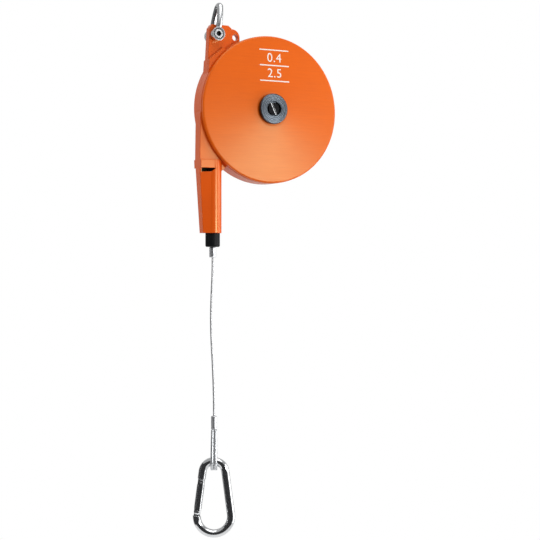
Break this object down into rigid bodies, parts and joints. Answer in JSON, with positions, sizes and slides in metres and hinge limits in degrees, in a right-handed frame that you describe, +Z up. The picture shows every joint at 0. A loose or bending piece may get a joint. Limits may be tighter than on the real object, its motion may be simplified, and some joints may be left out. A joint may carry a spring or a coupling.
{
  "type": "spring tool balancer",
  "caption": "Round spring balancer with a suspension shackle above and a wire rope below that carries a tool on a snap hook and takes up its weight.",
  "frame": {"origin": "inside top of the suspension shackle's bow, where the hook that carries the balancer bears", "axes": "+Z up along the hanging load, the cover with its adjusting collar faces -Y, and the drum housing lies towards +X of the rope"},
  "size_m": [0.1489, 0.0435, 0.526],
  "materials": {
    "orange_enamel": "smooth deep orange enamel on a die casting, slightly satin",
    "blued_steel": "turned and blued steel with fine turning rings",
    "black_oxide_steel": "black oxidised screw steel",
    "bright_zinc": "bright zinc plated steel",
    "spring_steel": "tempered spring steel",
    "sheet_steel": "plain machined steel",
    "cast_aluminium": "machined light alloy",
    "pressed_aluminium": "pressed light alloy sleeve",
    "wire_rope": "stranded galvanised wire rope",
    "sintered_bronze": "oil filled sintered bronze",
    "black_plastic": "black low friction plastic",
    "black_rubber": "black rubber"
  },
  "bodies": {
    "case": {"housing": "orange_enamel", "front_cover": "orange_enamel", "cover_screws": "black_oxide_steel", "front_bush": "sintered_bronze", "rear_bush": "sintered_bronze", "thrust_washer_front": "black_plastic", "thrust_washer_rear": "black_plastic", "rope_guide": "black_plastic", "rope_buffer": "black_rubber", "rope_lead": "wire_rope"},
    "shackle": {"shackle_bow": "bright_zinc", "shackle_pin": "bright_zinc"},
    "drum": {"rope_drum": "cast_aluminium", "spring_lid": "sheet_steel", "lid_screws": "black_oxide_steel", "drum_bush_front": "sintered_bronze", "drum_bush_rear": "sintered_bronze", "main_spring": "spring_steel", "rope_windings": "wire_rope", "rope_anchor": "sheet_steel"},
    "adjuster": {"spring_arbor": "sheet_steel", "adjuster_collar": "blued_steel", "lock_screw": "black_oxide_steel", "arbor_washer": "sheet_steel", "retaining_ring": "black_oxide_steel"},
    "rope_end": {"stop_ferrule": "pressed_aluminium", "free_rope": "wire_rope", "eye_ferrule": "pressed_aluminium", "eye_loop": "wire_rope", "thimble": "bright_zinc"},
    "hook": {"carabiner_body": "bright_zinc", "gate_rivet": "bright_zinc"},
    "gate": {"carabiner_gate": "bright_zinc", "latch_pin": "bright_zinc", "gate_spring": "spring_steel", "gate_plunger": "sheet_steel"}
  },
  "joints": [
    {"name": "shackle_swing", "type": "hinge", "parent": "case", "child": "shackle", "pos_m": [-0.00416, 0, -0.02627], "axis": [0, 1, 0], "range_deg": [-110, 38]},
    {"name": "rope_pull", "type": "slide", "parent": "case", "child": "rope_end", "axis": [0, 0, -1], "range_m": [0, 1.6], "stiffness_N_per_m": 2.5, "springref_m": -3.2, "deforming": ["rope_lead"]},
    {"name": "drum_spin", "type": "hinge", "parent": "case", "child": "drum", "pos_m": [0.05164, 0, -0.09767], "axis": [0, -1, 0], "range_deg": [0, 1590], "deforming": ["main_spring"]},
    {"name": "tension_adjust", "type": "hinge", "parent": "case", "child": "adjuster", "pos_m": [0.05164, 0, -0.09767], "axis": [0, -1, 0], "range_deg": [0, 1080], "deforming": ["main_spring"]},
    {"name": "hook_swing", "type": "hinge", "parent": "rope_end", "child": "hook", "pos_m": [-0.00496, 0, -0.44497], "axis": [0.9018, -0.4321, 0], "range_deg": [-50, 50]},
    {"name": "gate_open", "type": "hinge", "parent": "hook", "child": "gate", "pos_m": [-0.01967, 0.00705, -0.49437], "axis": [0.4321, 0.9018, 0], "range_deg": [0, 25], "stiffness_Nm_per_rad": 0.05, "springref_deg": -34.38}
  ],
  "couplings": [
    {"joint": "drum_spin", "follows": "rope_pull", "rad_per_m": 17.241}
  ]
}
